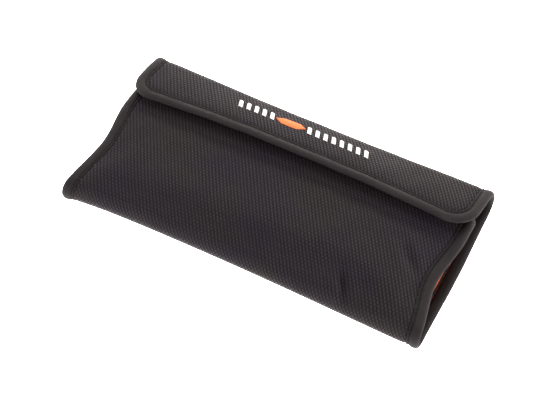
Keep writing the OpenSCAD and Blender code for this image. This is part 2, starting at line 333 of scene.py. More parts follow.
# Creases set in the front leaf: from (x, y) to (x, y), depth, width
CREASES = (
    ((93.0, -5.0), (113.0, -27.0), 1.9, 3.4),
    ((117.0, -24.0), (111.0, -54.0), 1.1, 3.4),
    ((79.0, -63.0), (68.0, -44.0), 2.3, 2.8),
    ((-116.0, -16.0), (-96.0, -44.0), 0.8, 7.0),
    ((-20.0, 6.0), (34.0, -14.0), 0.5, 8.0),
)
# Line along which the padded front turns down to the bottom fold: its height, and its width on each side
RIDGE_X = (-128.0, -90.0, 0.0, 62.0, 84.0, 108.0, 128.0)
RIDGE_Y = (-50.0, -41.0, -36.0, -29.0, -36.0, -43.0, -56.0)
RIDGE_H, RIDGE_ABOVE, RIDGE_BELOW = 2.8, 21.0, 11.0


def ridge(x, y):
    away = y - np.interp(x, RIDGE_X, RIDGE_Y)
    away = away / np.where(away > 0, RIDGE_ABOVE, RIDGE_BELOW)
    ends = 0.25 + 0.75 * smooth((126 - np.abs(x)) / 24)
    return RIDGE_H * np.exp(-away ** 2) * ends


def creased(x, y):
    """The ridge, less the creases, each with a low roll beside it."""
    total = ridge(x, y)
    for (x0, y0), (x1, y1), depth, width in CREASES:
        dx, dy = x1 - x0, y1 - y0
        t = np.clip(((x - x0) * dx + (y - y0) * dy) / (dx * dx + dy * dy), 0, 1)
        away = np.hypot(x - x0 - t * dx, y - y0 - t * dy) / width
        total = total - depth * np.exp(-away ** 2) * (0.25 + 0.75 * np.sin(math.pi * t))
        total = total + 0.35 * depth * np.exp(-(away - 1.9) ** 2) * np.sin(math.pi * t)
    return total


def puff(x, s):
    """How far the settled cloth stands out of the plain section. Under the flap it stays put."""
    if not FIELD:
        return 0 * x
    x, s = np.broadcast_arrays(np.asarray(x, float), np.asarray(s, float))
    y = section(s)[0][..., 0]
    broad, fine = looked_up(FIELD["broad"], x, s), looked_up(FIELD["fine"], x, s)
    open_front = smooth((16 - y) / 14) * smooth((S_BOTTOM_FOLD - 2 - s) / 9)
    on_flap = np.maximum(0.5 * (broad + fine), -0.15) * smooth((s - S_TOP_FOLD - 2) / 9)
    below = -0.35 * np.sqrt(fine ** 2 + 0.01) * smooth((FLAT - np.abs(s)) / 12)
    return open_front * (broad + fine + creased(x, y)) + on_flap + below


LEAVES = {
    "back": dict(lo=-FLAT, hi=FLAT, r=0.0, end=None),
    "front": dict(lo=S_FRONT, hi=-FLAT, r=FRONT_CORNER, end=S_FRONT),
    "flap": dict(lo=FLAT, hi=S_FLAP, r=FLAP_CORNER, end=S_FLAP),
}


def inset_of(leaf, x, s):
    """Distance in the sheet from its bound edge."""
    side = half_width(s) - np.abs(x)
    a = LEAVES[leaf]
    if a["end"] is None:
        return side
    end = np.abs(a["end"] - s)
    corner = a["r"] - np.hypot(np.maximum(a["r"] - side, 0), np.maximum(a["r"] - end, 0))
    return np.where((side < a["r"]) & (end < a["r"]), corner, np.minimum(side, end))


def spread(lo, hi, step):
    return np.linspace(lo, hi, max(2, int(math.ceil(abs(hi - lo) / step)) + 1))


def rows_of(leaf, inset, step):
    """Values of s for a panel's rows, closer together at a free edge."""
    a = LEAVES[leaf]
    if a["end"] is None:
        return spread(a["lo"], a["hi"], step)
    near = inset + np.array([0, 0.4, 0.9, 1.6, 2.5, 3.6, 5, 6.8, 9, 11.5, 14])
    away = np.sign(a["hi"] + a["lo"] - 2 * a["end"])
    other = a["hi"] if a["end"] == a["lo"] else a["lo"]
    start = a["end"] + away * 14.001
    return np.concatenate([a["end"] + away * near[near < 14 + inset],
                           spread(start + away * (inset + 1.5), other, step)])


def row_half(leaf, s, inset):
    """Half of a panel's width at s, with its rounded corner."""
    a = LEAVES[leaf]
    half = half_width(s) - inset
    if a["end"] is None:
        return half
    r = max(a["r"] - inset, 0.5)
    t = np.clip(r - (np.abs(a["end"] - s) - inset), 0, r)
    return half - (r - np.sqrt(np.maximum(r * r - t * t, 0)))


# ---------------------------------------------------------------- mesh helpers
def new_object(name, verts, faces, uv=None, smooth_angle=50):
    mesh = bpy.data.meshes.new(name)
    mesh.from_pydata([tuple(v) for v in verts], [], [tuple(f) for f in faces])
    obj = bpy.data.objects.new(name, mesh)
    bpy.context.scene.collection.objects.link(obj)
    if uv is not None:
        layer = mesh.uv_layers.new(name="cloth")
        index = np.zeros(len(mesh.loops), np.int32)
        mesh.loops.foreach_get("vertex_index", index)
        layer.data.foreach_set("uv", (np.asarray(uv)[index] / 100).astype(np.float32).ravel())
    mesh.validate()
    outward(mesh)
    mesh.polygons.foreach_set("use_smooth", [True] * len(mesh.polygons))
    mesh.set_sharp_from_angle(angle=math.radians(smooth_angle))
    return obj


def outward(mesh):
    """Turns all of a mesh's faces outwards."""
    bm = bmesh.new()
    bm.from_mesh(mesh)
    bmesh.ops.recalc_face_normals(bm, faces=bm.faces)
    bm.to_mesh(mesh)
    bm.free()


def grid_faces(rows, cols, base=0, wrap=False):
    last = cols if wrap else cols - 1
    return [(base + r * cols + c, base + r * cols + (c + 1) % cols,
             base + (r + 1) * cols + (c + 1) % cols, base + (r + 1) * cols + c)
            for r in range(rows - 1) for c in range(last)]


def tube_faces(rows, cols):
    """Faces of a closed tube of rings, with both its ends capped."""
    return grid_faces(rows, cols, wrap=True) + [
        tuple(range(cols)), tuple(reversed(range((rows - 1) * cols, rows * cols)))]


def thread_ring(centre, up, radius, sides):
    """Rings of points round a thread's centre line. radius is given in mm at each point of it."""
    up = up / np.linalg.norm(up, axis=1)[:, None]
    forward = np.gradient(centre, axis=0)
    forward /= np.linalg.norm(forward, axis=1)[:, None]
    side = np.cross(forward, up)
    angle = np.arange(sides) * 2 * math.pi / sides
    return centre[:, None, :] + (radius[:, None] * MM)[..., None] * (
        np.cos(angle)[None, :, None] * side[:, None, :] + np.sin(angle)[None, :, None] * up[:, None, :])


def run_along(points):
    """How far along a line each of its points lies."""
    return np.concatenate([[0], np.cumsum(np.linalg.norm(np.diff(points, axis=0), axis=1))])


def dense(path):
    """Points about 2 mm apart along a path of straight pieces, up to its last corner but not on it."""
    points = []
    for a, b in zip(path, path[1:]):
        n = max(2, int(math.dist(a, b) / 2))
        points += [np.array(a) + (np.array(b) - np.array(a)) * k / n for k in range(n)]
    return np.array(points)


def closed_sheet(name, x, s, top, bottom):
    """A closed thin solid on the grid (x, s), between two depths given at each grid point."""
    rows, cols = x.shape
    verts = np.concatenate([place(x, s, top).reshape(-1, 3), place(x, s, bottom).reshape(-1, 3)])
    uv = np.concatenate([np.stack([x, s], -1).reshape(-1, 2)] * 2)
    n = rows * cols
    faces = grid_faces(rows, cols) + [tuple(reversed([i + n for i in f]))
                                      for f in grid_faces(rows, cols)]
    ring = ([c for c in range(cols)] + [r * cols + cols - 1 for r in range(1, rows)]
            + [(rows - 1) * cols + c for c in range(cols - 2, -1, -1)]
            + [r * cols for r in range(rows - 2, 0, -1)])
    faces += [(a, a + n, b + n, b) for a, b in zip(ring, ring[1:] + ring[:1])]
    return new_object(name, verts, faces, uv)


def panel(name, leaf, inset, top, bottom, step=2.4):
    """A layer of a leaf inside its bound edge. top and bottom give the depth at an inset."""
    s = rows_of(leaf, inset, step)
    half = row_half(leaf, s, inset)
    near = np.array([0, 0.3, 0.7, 1.2, 1.9, 2.8, 4.0, 5.6, 7.6])
    inner = spread(-1, 1, 2 * step / LENGTH)
    cols = [-half + k for k in near]
    cols += [f * (half - 9.6) for f in inner]
    cols += [half - k for k in near[::-1]]
    x = np.stack(cols, 1)
    s = np.broadcast_to(s[:, None], x.shape)
    e = inset_of(leaf, x, s)
    return closed_sheet(name, x, s, top(e), bottom(e))


def joined(name, parts, uv=True):
    """One object from several (verts, faces, uv) lists."""
    verts, faces, uvs, base = [], [], [], 0
    for v, f, t in parts:
        verts.append(v)
        uvs.append(t)
        faces += [tuple(i + base for i in face) for face in f]
        base += len(v)
    return new_object(name, np.concatenate(verts), faces, np.concatenate(uvs) if uv else None)


def attach(obj, leaf, *nodes):
    """Parents a piece of the back to the back's body, bakes any other piece's transform into its mesh, and
    hides the CAD nodes it replaces.
    """
    if leaf == "back":
        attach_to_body(obj, "back")
    else:
        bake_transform(obj)
    if nodes:
        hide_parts(*nodes)
    return obj


# ---------------------------------------------------------------- layers of the leaves
LAP = 1.2  # the shell and the lining run this far under the tape
FOAM_GAP = 0.05  # between the foam and the cloth on either side


def swell(e):
    """How far the sheet sinks into the seam beside the binding."""
    past = np.maximum(e - TAPE_W, 0)
    return 0.8 * np.exp(-past / 1.3) + 0.18 * np.exp(-past / 7)


def shell_top(e):
    return swell(e)


def shell_bottom(e):
    return swell(e) + SHELL_T


def lining_top(e):
    return LEAF_T - LINING_T - swell(e)


def lining_bottom(e):
    return LEAF_T - swell(e)


def foam_top(e):
    return swell(e) + SHELL_T + FOAM_GAP


def foam_bottom(e):
    return LEAF_T - LINING_T - swell(e) - FOAM_GAP


def inner_w(leaf):
    return BACK_INNER_W if leaf == "back" else TAPE_W


def leaf_layers(leaf, nodes_shell, nodes_foam, nodes_lining):
    shift = inner_w(leaf) - TAPE_W
    shell = attach(panel(f"{leaf}_cover", leaf, TAPE_W - LAP, shell_top, shell_bottom), leaf, *nodes_shell)
    foam = attach(panel(f"{leaf}_foam", leaf, inner_w(leaf) + 1.0, lambda e: foam_top(e - shift),
                        lambda e: foam_bottom(e - shift), 5.0), leaf, *nodes_foam)
    lining = attach(panel(f"{leaf}_inside", leaf, inner_w(leaf) - LAP, lambda e: lining_top(e - shift),
                          lambda e: lining_bottom(e - shift)), leaf, *nodes_lining)
    return shell, foam, lining


# ---------------------------------------------------------------- binding tape
def outline(leaf, step=2.0):
    """Points of a leaf's bound edge and their inward directions, in the sheet's (x, s)."""
    a = LEAVES[leaf]
    if a["end"] is None:
        s = spread(a["lo"], a["hi"], step)
        sides = []
        for sign in (-1, 1):
            sides.append((np.stack([sign * half_width(s), s], 1),
                          np.stack([np.full_like(s, -sign), 0 * s], 1)))
        return sides
    away = 1.0 if a["end"] == a["lo"] else -1.0
    other = a["hi"] if away > 0 else a["lo"]
    r = a["r"]
    s_side = spread(other, a["end"] + away * r, step)
    side = np.stack([half_width(s_side), s_side], 1)
    x1 = half_width(np.array([a["end"] + away * r]))[0] - r
    ang = np.radians(np.linspace(0, 90, max(8, int(r))))[1:-1]
    corner = np.stack([x1 + r * np.cos(ang), a["end"] + away * (r - r * np.sin(ang))], 1)
    top = np.stack([spread(x1, -x1, step), np.full(len(spread(x1, -x1, step)), a["end"])], 1)
    right = np.concatenate([side, corner])
    left = right[::-1] * [-1, 1]
    points = np.concatenate([right, top, left])
    tangent = np.gradient(points, axis=0)
    tangent /= np.linalg.norm(tangent, axis=1)[:, None]
    inward = np.stack([-tangent[:, 1], tangent[:, 0]], 1) * (-away)
    return [(points, inward)]


def tape_profile(turn):
    """(inset, depth) round the folded tape, from its outer face over the edge to its inner face."""
    outer = [(8.6, 1.1), (8.6, 0.45), (8.45, 0.2), (8.1, 0.12), (7.7, 0.3), (7.1, 0.84), (6.5, 0.3),
             (6.0, 0.0), (5.0, -0.2), (4.0, -0.3), (3.0, -0.26), (2.2, -0.08), (1.4, 0.22), (0.8, 0.56),
             (0.3, 0.98)]
    edge = [(0.0, EDGE_T / 2)]
    inner = [(e + turn * smooth((e - 3) / 3), EDGE_T - d) for e, d in reversed(outer)]
    back = [(7.6 + turn, EDGE_T - 0.95), (1.4, EDGE_T - 0.9), (1.4, 0.9), (7.6, 0.95)]
    return np.array(outer + edge + inner + back)


def binding_part(points, inward, turn=0.0):
    profile = tape_profile(turn)
    e, d = profile[:, 0], profile[:, 1]
    xs = points[:, None, :] + inward[:, None, :] * e[None, :, None]
    verts = place(xs[..., 0], xs[..., 1], np.broadcast_to(d, xs.shape[:-1])).reshape(-1, 3)
    uv = np.stack(np.broadcast_arrays(run_along(points)[:, None], e[None, :]), -1).reshape(-1, 2)
    return verts, tube_faces(*xs.shape[:2]), uv


THREAD_SIDES = 6


def thread_uv(along):
    around = np.arange(THREAD_SIDES)[None, :] * 0.2
    return np.stack(np.broadcast_arrays(along[:, None], around), -1).reshape(-1, 2)


def stitches(points, inward, inset, depth, length=2.7, gap=0.8, thick=0.24, lift=0.12):
    """Thread stitches along a line at an inset, on the face at a depth, bulging outwards."""
    line = points + inward * inset
    run = run_along(line)
    count = int((run[-1] - gap) // (length + gap))
    along = np.array([0, 0.12, 0.3, 0.5, 0.7, 0.88, 1.0])
    rise = np.array([0.35, -0.02, -0.1, -0.12, -0.1, -0.02, 0.35]) * (lift / 0.12)
    width = np.array([0.35, 0.8, 1, 1, 1, 0.8, 0.35]) * thick
    out_sign = 1.0 if depth < LEAF_T / 2 else -1.0
    parts = []
    for k in range(count):
        at = gap + k * (length + gap) + along * length
        x, s = (np.interp(at, run, line[:, j]) for j in (0, 1))
        centre = place(x, s, depth + out_sign * rise)
        up = place(x, s, np.full(len(x), depth + 1.0)) - place(x, s, np.full(len(x), depth))
        verts = thread_ring(centre, up, width, THREAD_SIDES).reshape(-1, 3)
        parts.append((verts, tube_faces(len(along), THREAD_SIDES), thread_uv(at)))
    return parts


STITCH_INSET, STITCH_DEPTH = 7.1, 0.62  # the stitches lie in the groove of the tape


def bind(leaf, names, nodes):
    """The binding of a leaf, and its stitch line on both faces."""
    made = []
    turn = inner_w(leaf) - TAPE_W
    for (points, inward), name, node in zip(outline(leaf), names, nodes):
        tape = attach(joined(name, [binding_part(points, inward, turn)]), leaf, node)
        thread = joined(name + "_stitching",
                        stitches(points, inward, STITCH_INSET, STITCH_DEPTH)
                        + stitches(points, inward, STITCH_INSET + turn, EDGE_T - STITCH_DEPTH))
        attach(thread, leaf)
        made.append((tape, thread))
    return made


# ---------------------------------------------------------------- pockets
POCKETS = 3
TAPE_STEP = 1.6  # room between the inner tape and the first pocket
POCKET_PITCH = (LENGTH - 2 * (BACK_INNER_W + TAPE_STEP)) / POCKETS
POCKET_W = POCKET_PITCH - 0.4  # less the gap to the next one
POCKET_BOTTOM, POCKET_MOUTH = -52.0, 34.0
SEAM_W = 3.0
POCKET_H = 5.6
CLOTH_T = 0.45
POCKET_LIFT = 0.06  # the pockets lie this far off the lining


def pocket_lift(u, v):
    """Height of a pocket's wall over its seams: u runs across it from -1 to 1, v from seam to mouth."""
    across = np.clip(1 - np.abs(u) ** 2.6, 0, 1) ** 0.75
    return POCKET_H * across * smooth(v / 0.32) * (1 - 0.12 * smooth((v - 0.55) / 0.45) * (1 - u * u))


def pocket_grid():
    w = POCKET_W / 2
    xs = np.concatenate([[-w, -w + 1.5], spread(-w + SEAM_W, w - SEAM_W, 1.8), [w - 1.5, w]])
    ys = np.concatenate([[POCKET_BOTTOM, POCKET_BOTTOM + 1.5],
                         spread(POCKET_BOTTOM + SEAM_W, POCKET_MOUTH, 1.8)])
    x, y = np.meshgrid(xs, ys)
    u = np.clip(x / (w - SEAM_W), -1, 1)
    v = np.clip((y - POCKET_BOTTOM - SEAM_W) / (POCKET_MOUTH - POCKET_BOTTOM - SEAM_W), 0, 1)
    wrinkle = 0.18 * np.sin(x / 5.2 + 0.8) * np.sin(y / 9.0) * (1 - u * u) * smooth(v / 0.2)
    return x, y, -(pocket_lift(u, v) + wrinkle)


def pocket_x(i):
    return (i - (POCKETS - 1) / 2) * POCKET_PITCH


def pocket(i, name, node):
    x, y, d = pocket_grid()
    base = LEAF_T + POCKET_LIFT
    obj = closed_sheet(name, x + pocket_x(i), y, base - d + CLOTH_T, base - d)
    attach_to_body(obj, "back")
    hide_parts(node)
    return obj


def pocket_tape(i, name, node):
    """Tape folded over a pocket's mouth, following its arch."""
    x, _, d = pocket_grid()
    xs, lift = x[-1], -d[-1]
    keep = np.abs(xs) <= POCKET_W / 2 - 1.4
    xs, lift = xs[keep], lift[keep]
    base = LEAF_T + POCKET_LIFT
    section_yd = np.array([
        (-6.0, 0.62), (-6.0, 0.95), (-5.6, 1.08), (-1.0, 1.12), (0.2, 1.0), (0.75, 0.6), (0.75, -0.1),
        (0.2, -0.5), (-1.0, -0.6), (-5.6, -0.56), (-6.0, -0.44), (-6.0, -0.12), (0.1, -0.1), (0.1, 0.6)])
    verts, uvs = [], []
    for xk, hk in zip(xs, lift):
        low = np.maximum(base + hk + section_yd[:, 1], LEAF_T + 0.03)
        verts.append(place(np.full(len(low), xk + pocket_x(i)), POCKET_MOUTH + section_yd[:, 0], low))
        uvs.append(np.stack([np.full(len(low), xk), section_yd[:, 0]], 1))
    faces = tube_faces(len(xs), len(section_yd))
    obj = new_object(name, np.concatenate(verts), faces, np.concatenate(uvs))
    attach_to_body(obj, "back")
    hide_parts(node)
    return obj


def seam_lines():
    """The pockets' seams as (points, inward) lines on the sheet."""
    lines = []
    w, bottom, top = POCKET_W / 2 - 1.6, POCKET_BOTTOM + 1.6, POCKET_MOUTH - 7
    path = [(-w, top), (-w, bottom), (w, bottom), (w, top)]
    for i in range(POCKETS):
        points = np.concatenate([dense(path), [path[-1]]]) + [pocket_x(i), 0]
        lines.append((points, np.zeros_like(points)))
    return lines


# ---------------------------------------------------------------- closure
STRIP_L, STRIP_W, STRIP_T = 180.0, 14.0, 1.2
STRIP_END = 2.5  # radius of the strips' corners
STRIP_MID = LINE[-1, 0] + TAPE_W + 3
STRIP_Y = (STRIP_MID - STRIP_W / 2, STRIP_MID + STRIP_W / 2)


def strip(name, leaf, node, outer, inner):
    """A hook or loop strip, with rounded ends and a raised pile field inside a plain selvedge."""
    s0, s1 = sorted(s_at(y, leaf) for y in STRIP_Y)
    sign = -1 if outer < inner else 1
    s = np.concatenate([[s0, s0 + 0.3, s0 + 1.0], spread(s0 + 1.3, s1 - 1.3, 1.5),
                        [s1 - 1.0, s1 - 0.3, s1]])
    frac = np.concatenate([[-1, -0.997, -0.99], spread(-0.985, 0.985, 0.02), [0.99, 0.997, 1]])
    corner = np.clip(STRIP_END - np.minimum(s - s0, s1 - s), 0, STRIP_END)
    half = STRIP_L / 2 - (STRIP_END - np.sqrt(np.maximum(STRIP_END ** 2 - corner ** 2, 0)))
    x = half[:, None] * frac[None, :]
    sg = np.broadcast_to(s[:, None], x.shape)
    field = (smooth((np.minimum(sg - s0, s1 - sg) - 0.3) / 1.0)
             * smooth((half[:, None] - np.abs(x) - 0.2) / 1.0))
    face = inner + (outer - inner) * (0.35 + 0.65 * field)
    low, high = (face, np.full_like(face, inner)) if sign < 0 else (np.full_like(face, inner), face)
    obj = closed_sheet(name, x, sg, np.minimum(low, high), np.maximum(low, high))
    return attach(obj, leaf, node)


def strip_line(leaf):
    """The line a strip is stitched down on."""
    s0, s1 = sorted(s_at(y, leaf) for y in STRIP_Y)
    w, a, b = STRIP_L / 2 - 1.5, s0 + 1.5, s1 - 1.5
    points = dense([(-w, a), (w, a), (w, b), (-w, b), (-w, a)])
    return points, np.zeros_like(points)


# ---------------------------------------------------------------- emblem
EMBLEM_X, EMBLEM_T, EMBLEM_W = -4.0, 13.0, 8.5  # its middle, how far down the flap it lies, its height
BAR_W, BAR_PITCH, BAR_GAP = 3.0, 6.2, 1.2
LOZENGE_X, LOZENGE_HALF = -11.0, 11.8
LEFT_BARS, RIGHT_BARS = 5, 8
SATIN_R = 0.24  # radius of a satin stitch
BAR_THREADS, LOZENGE_THREADS = 22, 58


def s_emblem():
    return S_TOP_FOLD + FOLD_R * (math.pi / 2 - FLAP_SLOPE) + EMBLEM_T


def satin(strokes, name, node):
    """Satin stitches: each stroke (x0, t0, x1, t1) is one thread lying over the cloth, in emblem units."""
    s0 = s_emblem()
    parts = []
    arch = np.array([-0.1, 0.26, 0.34, 0.26, -0.1])
    n = len(arch)
    along = np.linspace(0, 1, n)
    for x0, t0, x1, t1 in strokes:
        x = EMBLEM_X + x0 + (x1 - x0) * along
        s = s0 - (t0 + (t1 - t0) * along)
        centre = place(x, s, -arch)
        up = place(x, s, np.full(n, -1.0)) - place(x, s, np.zeros(n))
        verts = thread_ring(centre, up, np.full(n, SATIN_R), THREAD_SIDES).reshape(-1, 3)
        parts.append((verts, tube_faces(n, THREAD_SIDES), thread_uv(along * math.hypot(x1 - x0, t1 - t0))))
    return attach(joined(name, parts), "flap", node)


def bar_strokes(x):
    slant = EMBLEM_W / 3
    rows = [-EMBLEM_W / 2 + EMBLEM_W * (k + 0.5) / BAR_THREADS for k in range(BAR_THREADS)]
    return [(x + slant * r / EMBLEM_W, -r + 0.1, x + BAR_W + slant * r / EMBLEM_W, -r - 0.1) for r in rows]


def bars():
    strokes = []
    for i in range(LEFT_BARS):
        strokes += bar_strokes(LOZENGE_X - LOZENGE_HALF - BAR_GAP - BAR_W - BAR_PITCH * i)
    for i in range(RIGHT_BARS):
        strokes += bar_strokes(LOZENGE_X + LOZENGE_HALF + BAR_GAP + BAR_PITCH * i)
    return strokes


def lozenge():
    strokes = []
    for k in range(LOZENGE_THREADS):
        x = -LOZENGE_HALF + 2 * LOZENGE_HALF * (k + 0.5) / LOZENGE_THREADS
        h = EMBLEM_W / 2 * min(1.0, (LOZENGE_HALF - abs(x)) / (LOZENGE_HALF / 2))
        if h > 0.25:
            strokes.append((LOZENGE_X + x, -h, LOZENGE_X + x + 0.1, h))
    return strokes


# ---------------------------------------------------------------- materials
class Nodes:
    """Short calls for building a material's node tree."""

    def __init__(self, name):
        self.mat = bpy.data.materials.new(name)
        self.mat.use_nodes = True
        self.tree = self.mat.node_tree
        self.bsdf = next(n for n in self.tree.nodes if n.type == "BSDF_PRINCIPLED")

    def node(self, kind, **values):
        n = self.tree.nodes.new(kind)
        for key, value in values.items():
            setattr(n, key, value)
        return n

    def link(self, a, b):
        self.tree.links.new(a, b)

    def math(self, op, a, b=None, c=None):
        n = self.node("ShaderNodeMath", operation=op)
        for i, v in enumerate((a, b, c)):
            if v is None:
                continue
            if isinstance(v, (int, float)):
                n.inputs[i].default_value = v
            else:
                self.link(v, n.inputs[i])
        return n.outputs[0]

    def cloth(self):
        """The sheet's own coordinates in mm: along the folds, and across them."""
        uv = self.node("ShaderNodeUVMap", uv_map="cloth")
        split = self.node("ShaderNodeSeparateXYZ")
        self.link(uv.outputs[0], split.inputs[0])
        return self.math("MULTIPLY", split.outputs[0], 100.0), self.math("MULTIPLY", split.outputs[1], 100.0)

    def vector(self, x, y, z=0.0):
        n = self.node("ShaderNodeCombineXYZ")
        for i, v in enumerate((x, y, z)):
            if isinstance(v, (int, float)):
                n.inputs[i].default_value = v
            else:
                self.link(v, n.inputs[i])
        return n.outputs[0]

    def noise(self, vector, scale, detail=3.0, rough=0.55):
        n = self.node("ShaderNodeTexNoise")
        n.inputs["Scale"].default_value = scale
        n.inputs["Detail"].default_value = detail
        n.inputs["Roughness"].default_value = rough
        self.link(vector, n.inputs["Vector"])
        return n.outputs["Fac"]

    def cosine(self, x, y, fx, fy):
        """cos of fx and fy cycles per mm."""
        a = self.math("MULTIPLY", x, 2 * math.pi * fx)
        return self.math("COSINE", self.math("MULTIPLY_ADD", y, 2 * math.pi * fy, a))

    def ramp(self, fac, stops):
        n = self.node("ShaderNodeValToRGB")
        e = n.color_ramp.elements
        while len(e) < len(stops):
            e.new(0.5)
        for element, (at, colour) in zip(e, stops):
            element.position = at
            element.color = (*colour, 1)
        self.link(fac, n.inputs[0])
        return n.outputs[0]

    def mix(self, fac, a, b, blend="MIX"):
        n = self.node("ShaderNodeMix", data_type="RGBA", blend_type=blend)
        for i, v in ((0, fac), (6, a), (7, b)):
            if isinstance(v, (int, float)):
                n.inputs[i].default_value = v
            elif isinstance(v, tuple):
                n.inputs[i].default_value = (*v, 1)
            else:
                self.link(v, n.inputs[i])
        return n.outputs[2]

    def remap(self, v, lo, hi, to_lo, to_hi):
        n = self.node("ShaderNodeMapRange")
        for i, k in enumerate((lo, hi, to_lo, to_hi)):
            n.inputs[i + 1].default_value = k
        self.link(v, n.inputs[0])
        return n.outputs[0]

    def bump(self, height, mm, strength=1.0):
        n = self.node("ShaderNodeBump")
        n.inputs["Strength"].default_value = strength
        n.inputs["Distance"].default_value = mm * MM
        self.link(height, n.inputs["Height"])
        return n.outputs[0]

    def finish(self, colour, roughness, normal, **uniform):
        self.link(colour, self.bsdf.inputs["Base Color"])
        if isinstance(roughness, float):
            self.bsdf.inputs["Roughness"].default_value = roughness
        else:
            self.link(roughness, self.bsdf.inputs["Roughness"])
        self.link(normal, self.bsdf.inputs["Normal"])
        for key, value in uniform.items():
            self.bsdf.inputs[key.replace("_", " ")].default_value = value
        return self.mat


WEAVE_X, WEAVE_Y = 2.7, 4.3  # the weave's cell, along and across the folds


def ballistic_nylon():
    """Coarse black nylon: rows of raised floats, each row half a step off the next. Its colour is darker in
    the pits, as painted shade, and lighter on the floats, as a painted highlight.
    """
    n = Nodes("ballistic_nylon")
    x, y = n.cloth()
    broad = n.noise(n.vector(x, y), 0.045, 3)
    a = n.cosine(x, y, 1 / WEAVE_X, 1 / WEAVE_Y)
    b = n.cosine(x, y, 1 / WEAVE_X, -1 / WEAVE_Y)
    c = n.cosine(x, y, 0.0, 2 / WEAVE_Y)
    total = n.math("ADD", n.math("MULTIPLY_ADD", a, 0.38, b), n.math("MULTIPLY", c, 0.32))
    dots = n.remap(total, -1.45, 1.6, 0.0, 1.0)
    yarn = n.math("MULTIPLY_ADD", n.cosine(x, y, 2.2, 0.35), 0.5, 0.5)
    fuzz = n.noise(n.vector(x, y), 1.6, 4, 0.7)
    streak = n.noise(n.vector(n.math("MULTIPLY", x, 0.12), n.math("MULTIPLY", y, 1.1)), 0.5, 2)
    height = n.math("ADD", n.math("MULTIPLY_ADD", yarn, 0.12, dots), n.math("MULTIPLY", fuzz, 0.25))
    # The tone follows the weave's height. The pattern is the weave's own, but the darker pits between the
    # floats are painted shade and the lighter float tops are a painted highlight.
    tone = n.math("ADD", n.math("MULTIPLY_ADD", fuzz, 0.35, dots), n.math("MULTIPLY", streak, 0.35))
    colour = n.ramp(n.remap(tone, 0.2, 1.35, 0.0, 1.0),
                    [(0.0, (0.0038, 0.0032, 0.0034)), (0.35, (0.0098, 0.0083, 0.0088)),
                     (0.75, (0.0186, 0.0157, 0.0167)), (1.0, (0.029, 0.0246, 0.0258))])
    colour = n.mix(n.remap(broad, 0.35, 0.68, 0.0, 0.3), colour, (0.0145, 0.0122, 0.013))
    # Broad patches of cooler colour, placed by noise: painted shade colour, standing in for the cool light
    # that falls in the shaded parts.
    painted_cool_shade = n.noise(n.vector(n.math("ADD", x, 310.0), y), 0.018, 2)
    colour = n.mix(n.remap(painted_cool_shade, 0.35, 0.65, 0.0, 1.0), colour, (0.84, 0.88, 1.08), "MULTIPLY")
    rough = n.remap(dots, 0.0, 1.0, 0.86, 0.56)
    return n.finish(colour, rough, n.bump(height, 0.42), Sheen_Weight=0.24, Sheen_Roughness=0.25,
                    Specular_IOR_Level=0.07, Specular_Tint=(1.0, 0.9, 0.94, 1),
                    Sheen_Tint=(1.0, 0.94, 0.9, 1))


def tape_cloth():
    """Black woven binding tape with fine cross ribs."""
    n = Nodes("binding_tape")
    x, y = n.cloth()
    rib = n.math("MULTIPLY_ADD", n.cosine(x, y, 1.35, 0.0), 0.5, 0.5)
    chevron = n.math("MULTIPLY_ADD", n.cosine(x, y, 0.68, 1.1), 0.5, 0.5)
    fuzz = n.noise(n.vector(x, y), 1.1, 4, 0.7)
    broad = n.noise(n.vector(x, y), 0.07, 2)
    height = n.math("ADD", n.math("MULTIPLY_ADD", chevron, 0.5, rib), n.math("MULTIPLY", fuzz, 0.5))
    tone = n.math("ADD", n.math("MULTIPLY_ADD", rib, 0.35, fuzz), n.math("MULTIPLY", broad, 0.4))
    colour = n.ramp(n.remap(tone, 0.35, 1.2, 0.0, 1.0),
                    [(0.0, (0.0021, 0.0018, 0.002)), (0.5, (0.007, 0.006, 0.0066)),
                     (1.0, (0.0158, 0.0135, 0.0145))])
    return n.finish(colour, n.remap(fuzz, 0.3, 0.7, 0.5, 0.7), n.bump(height, 0.16), Sheen_Weight=0.04,
                    Sheen_Roughness=0.26, Specular_IOR_Level=0.12, Specular_Tint=(1.0, 0.88, 0.93, 1),
                    Sheen_Tint=(1.0, 0.94, 0.9, 1))


def plain_cloth(name, low, high, sheen=0.3, shine=0.5):
    """Fine plain-weave nylon lining."""
    n = Nodes(name)
    x, y = n.cloth()
    warp = n.math("MULTIPLY", n.cosine(x, y, 1.25, 0.0), n.cosine(x, y, 0.0, 1.25))
    fuzz = n.noise(n.vector(x, y), 1.3, 3, 0.65)
    broad = n.noise(n.vector(x, y), 0.05, 3)
    tone = n.math("ADD", n.math("MULTIPLY_ADD", warp, 0.3, fuzz), n.math("MULTIPLY", broad, 0.7))
    colour = n.ramp(n.remap(tone, 0.45, 1.25, 0.0, 1.0), [(0.0, low), (1.0, high)])
    height = n.math("MULTIPLY_ADD", fuzz, 0.4, warp)
    return n.finish(colour, n.remap(broad, 0.3, 0.7, 0.5, 0.66), n.bump(height, 0.12), Sheen_Weight=sheen,
                    Sheen_Roughness=0.35, Specular_IOR_Level=shine)


def foam():
    n = Nodes("foam")
    x, y = n.cloth()
    cells = n.noise(n.vector(x, y), 1.9, 5, 0.75)
    broad = n.noise(n.vector(x, y), 0.06, 2)
    colour = n.ramp(n.math("MULTIPLY_ADD", broad, 0.4, cells),
                    [(0.35, (0.04, 0.038, 0.036)), (0.9, (0.13, 0.125, 0.12))])
    return n.finish(colour, 0.9, n.bump(cells, 0.3))


